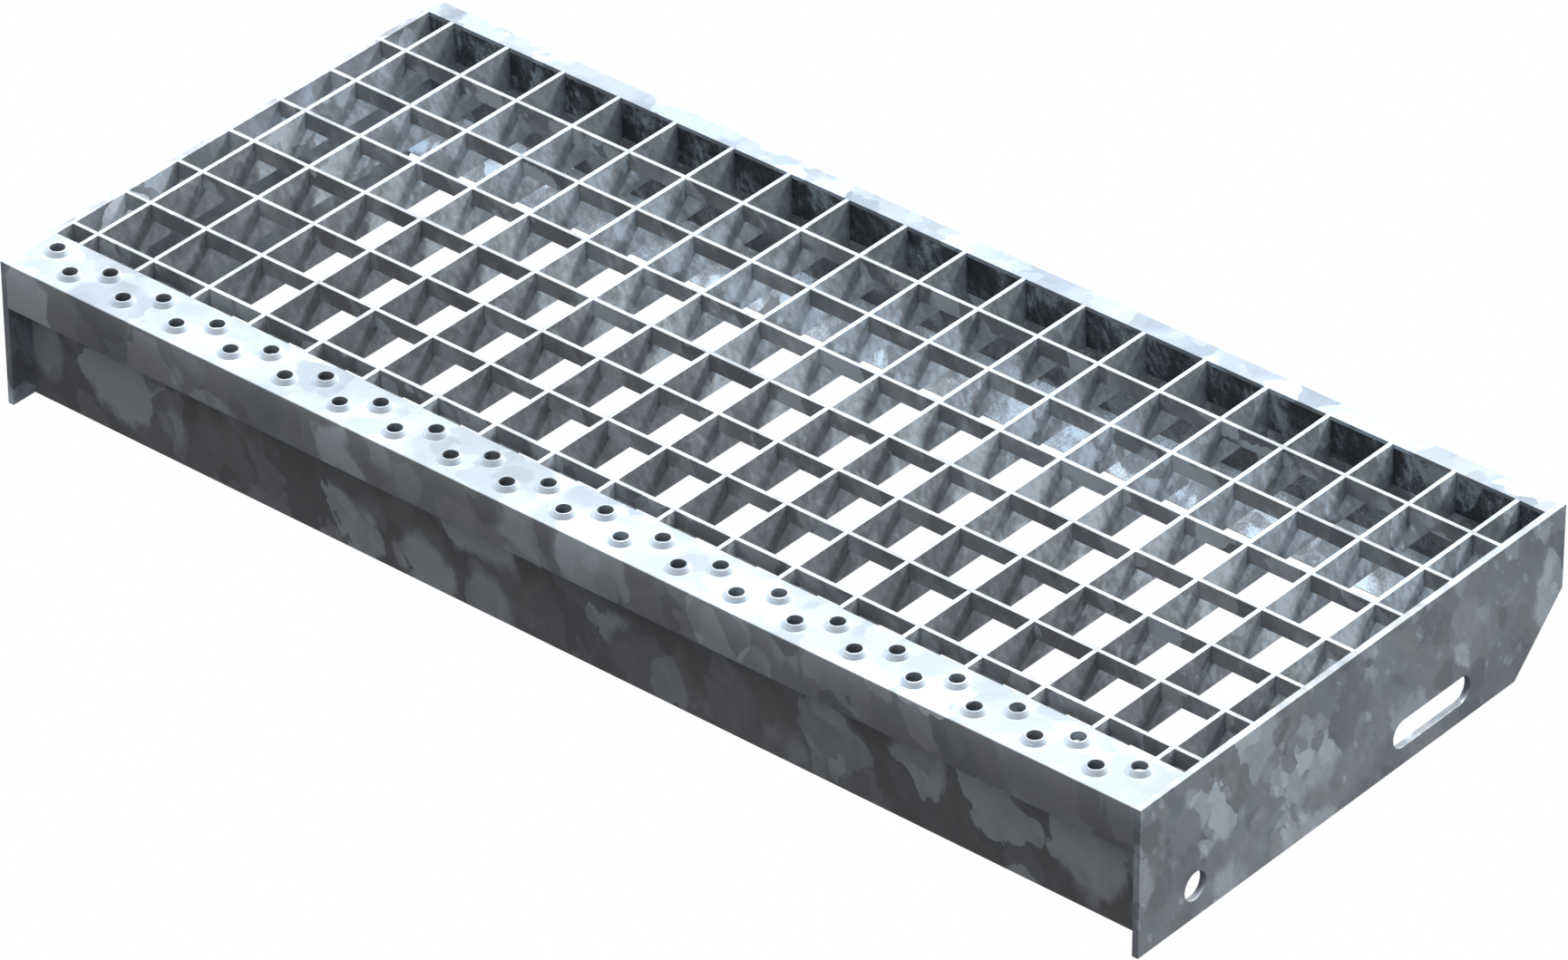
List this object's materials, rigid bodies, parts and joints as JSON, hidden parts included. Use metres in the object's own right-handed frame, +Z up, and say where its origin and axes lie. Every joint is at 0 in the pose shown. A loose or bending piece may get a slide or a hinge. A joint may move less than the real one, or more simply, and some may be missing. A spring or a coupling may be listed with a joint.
{
  "type": "stair tread",
  "caption": "Open stair tread of pressed steel grating, galvanised, with a perforated anti-slip nosing and drilled end plates that bolt between two stringers.",
  "frame": {"origin": "bottom centre: under the middle of the tread, on the plane of its bottom edges", "axes": "+X along the tread to its right-hand end plate, +Y from the dimpled front edge to the rear edge, +Z up through the walking surface"},
  "size_m": [0.6, 0.27, 0.0723],
  "materials": {
    "end_plate_zinc": "hot-dip galvanised, spangled",
    "nosing_zinc": "hot-dip galvanised, spangled",
    "front_plate_zinc": "hot-dip galvanised, spangled",
    "rear_edge_zinc": "hot-dip galvanised, spangled",
    "bearing_bar_zinc": "hot-dip galvanised, spangled",
    "cross_bar_zinc": "hot-dip galvanised, spangled"
  },
  "bodies": {
    "root": {"left_end_plate": "end_plate_zinc", "right_end_plate": "end_plate_zinc", "nosing": "nosing_zinc", "front_plate": "front_plate_zinc", "rear_strip": "rear_edge_zinc", "band_bar": "rear_edge_zinc", "rear_support": "rear_edge_zinc", "bearing_bar_01": "bearing_bar_zinc", "bearing_bar_02": "bearing_bar_zinc", "bearing_bar_03": "bearing_bar_zinc", "bearing_bar_04": "bearing_bar_zinc", "bearing_bar_05": "bearing_bar_zinc", "bearing_bar_06": "bearing_bar_zinc", "bearing_bar_07": "bearing_bar_zinc", "bearing_bar_08": "bearing_bar_zinc", "bearing_bar_09": "bearing_bar_zinc", "bearing_bar_10": "bearing_bar_zinc", "bearing_bar_11": "bearing_bar_zinc", "bearing_bar_12": "bearing_bar_zinc", "bearing_bar_13": "bearing_bar_zinc", "bearing_bar_14": "bearing_bar_zinc", "bearing_bar_15": "bearing_bar_zinc", "bearing_bar_16": "bearing_bar_zinc", "bearing_bar_17": "bearing_bar_zinc", "bearing_bar_18": "bearing_bar_zinc", "bearing_bar_19": "bearing_bar_zinc", "cross_bar_01": "cross_bar_zinc", "cross_bar_02": "cross_bar_zinc", "cross_bar_03": "cross_bar_zinc", "cross_bar_04": "cross_bar_zinc", "cross_bar_05": "cross_bar_zinc", "cross_bar_06": "cross_bar_zinc", "cross_bar_07": "cross_bar_zinc"}
  },
  "joints": []
}
